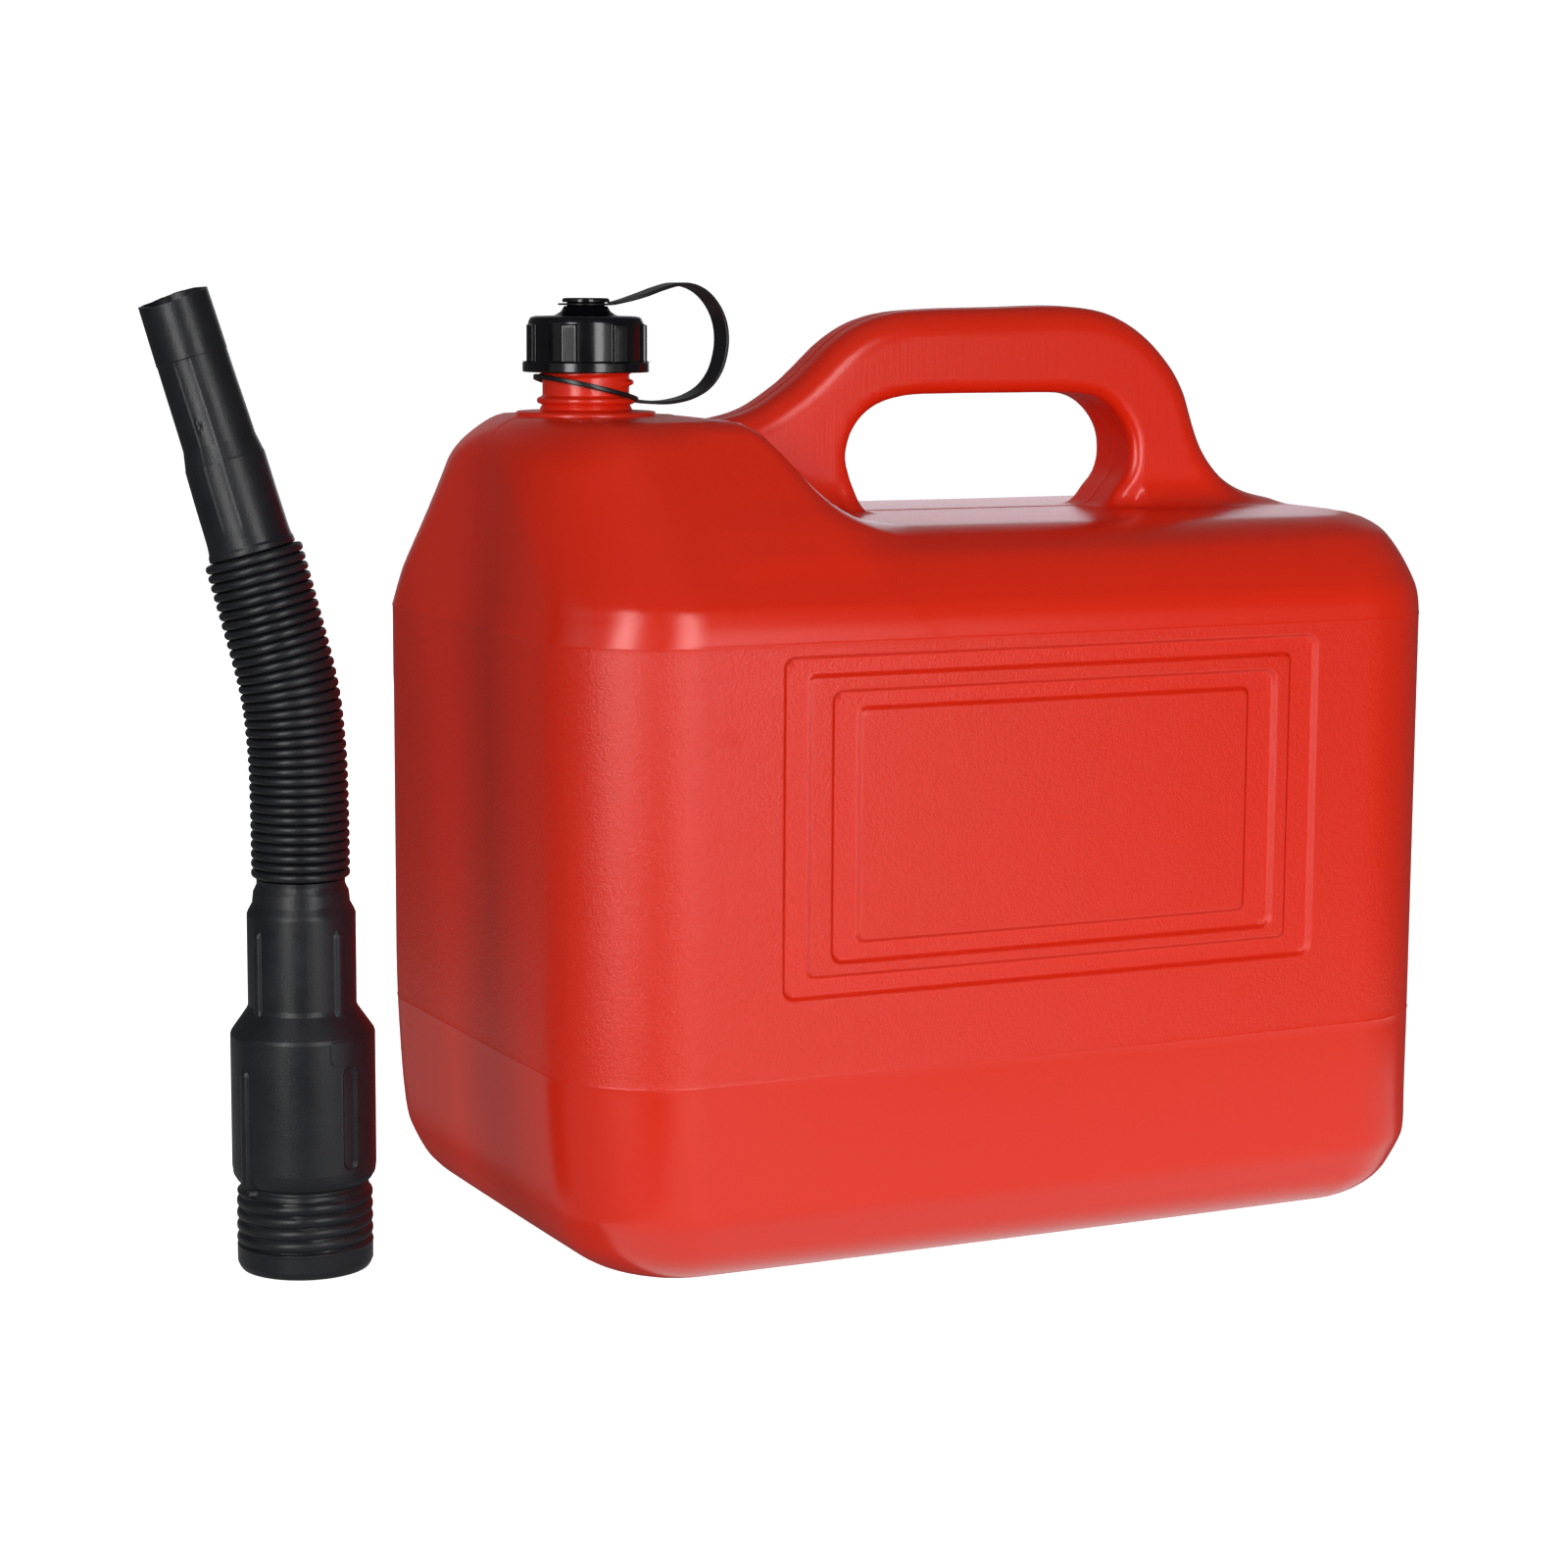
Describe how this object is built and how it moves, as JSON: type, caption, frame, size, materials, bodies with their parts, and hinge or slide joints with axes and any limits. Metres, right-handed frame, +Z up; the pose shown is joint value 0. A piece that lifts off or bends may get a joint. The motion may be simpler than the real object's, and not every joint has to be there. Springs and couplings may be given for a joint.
{
  "type": "jerry can",
  "caption": "Blow-moulded fuel can with hollow top handle, threaded neck, tethered screw cap and a loose flexible pouring spout standing beside it.",
  "frame": {"origin": "centre of the can's flat base, on the ground", "axes": "+Z up, +X along the can's length away from the neck, -Y out of the broad face that carries the two framing grooves towards the viewer"},
  "size_m": [0.48, 0.234, 0.3526],
  "materials": {
    "can_red": "satin HDPE, fine mould grain on the walls, smooth shoulder",
    "cap_black": "glossy moulded polypropylene",
    "seal": "pale foamed liner",
    "strap_black": "semi-gloss flexible polyethylene",
    "spout_black": "satin blow-moulded polyethylene"
  },
  "bodies": {
    "can": {"can_tank": "can_red", "can_handle": "can_red", "can_neck": "can_red"},
    "tether": {"tether_ring": "strap_black", "tether_band": "strap_black"},
    "eye": {"tether_eye": "strap_black"},
    "seal": {"cap_gasket": "seal"},
    "cap": {"cap": "cap_black"},
    "spout": {"spout_base": "spout_black", "spout_bellows": "spout_black"},
    "nozzle": {"spout_nozzle": "spout_black"}
  },
  "joints": [
    {"name": "tether_swing", "type": "hinge", "parent": "can", "child": "tether", "pos_m": [-0.1328, 0, 0.3136], "axis": [0, 0, 1], "continuous": true},
    {"name": "eye_lift", "type": "slide", "parent": "tether", "child": "eye", "axis": [0, 0, 1], "range_m": [0, 0.0172], "deforming": ["tether_band"]},
    {"name": "cap_lift", "type": "slide", "parent": "can", "child": "seal", "axis": [0, 0, 1], "range_m": [0, 0.0172]},
    {"name": "cap_turn", "type": "hinge", "parent": "seal", "child": "cap", "pos_m": [-0.1328, 0, 0.3364], "axis": [0, 0, 1], "range_deg": [0, 1440]},
    {"name": "spout_lift", "type": "slide", "parent": "can", "child": "spout", "axis": [0, 0, 1], "range_m": [0, 0.25]},
    {"name": "spout_flex", "type": "hinge", "parent": "spout", "child": "nozzle", "pos_m": [-0.2505, -0.0139, 0.1964], "axis": [-0.436, -0.9, 0], "range_deg": [-40, 40], "stiffness_Nm_per_rad": 0.6, "deforming": ["spout_bellows"]}
  ],
  "couplings": [
    {"joint": "cap_turn", "follows": "cap_lift", "rad_per_m": 1461.2},
    {"joint": "eye_lift", "follows": "cap_lift", "ratio": 1}
  ]
}
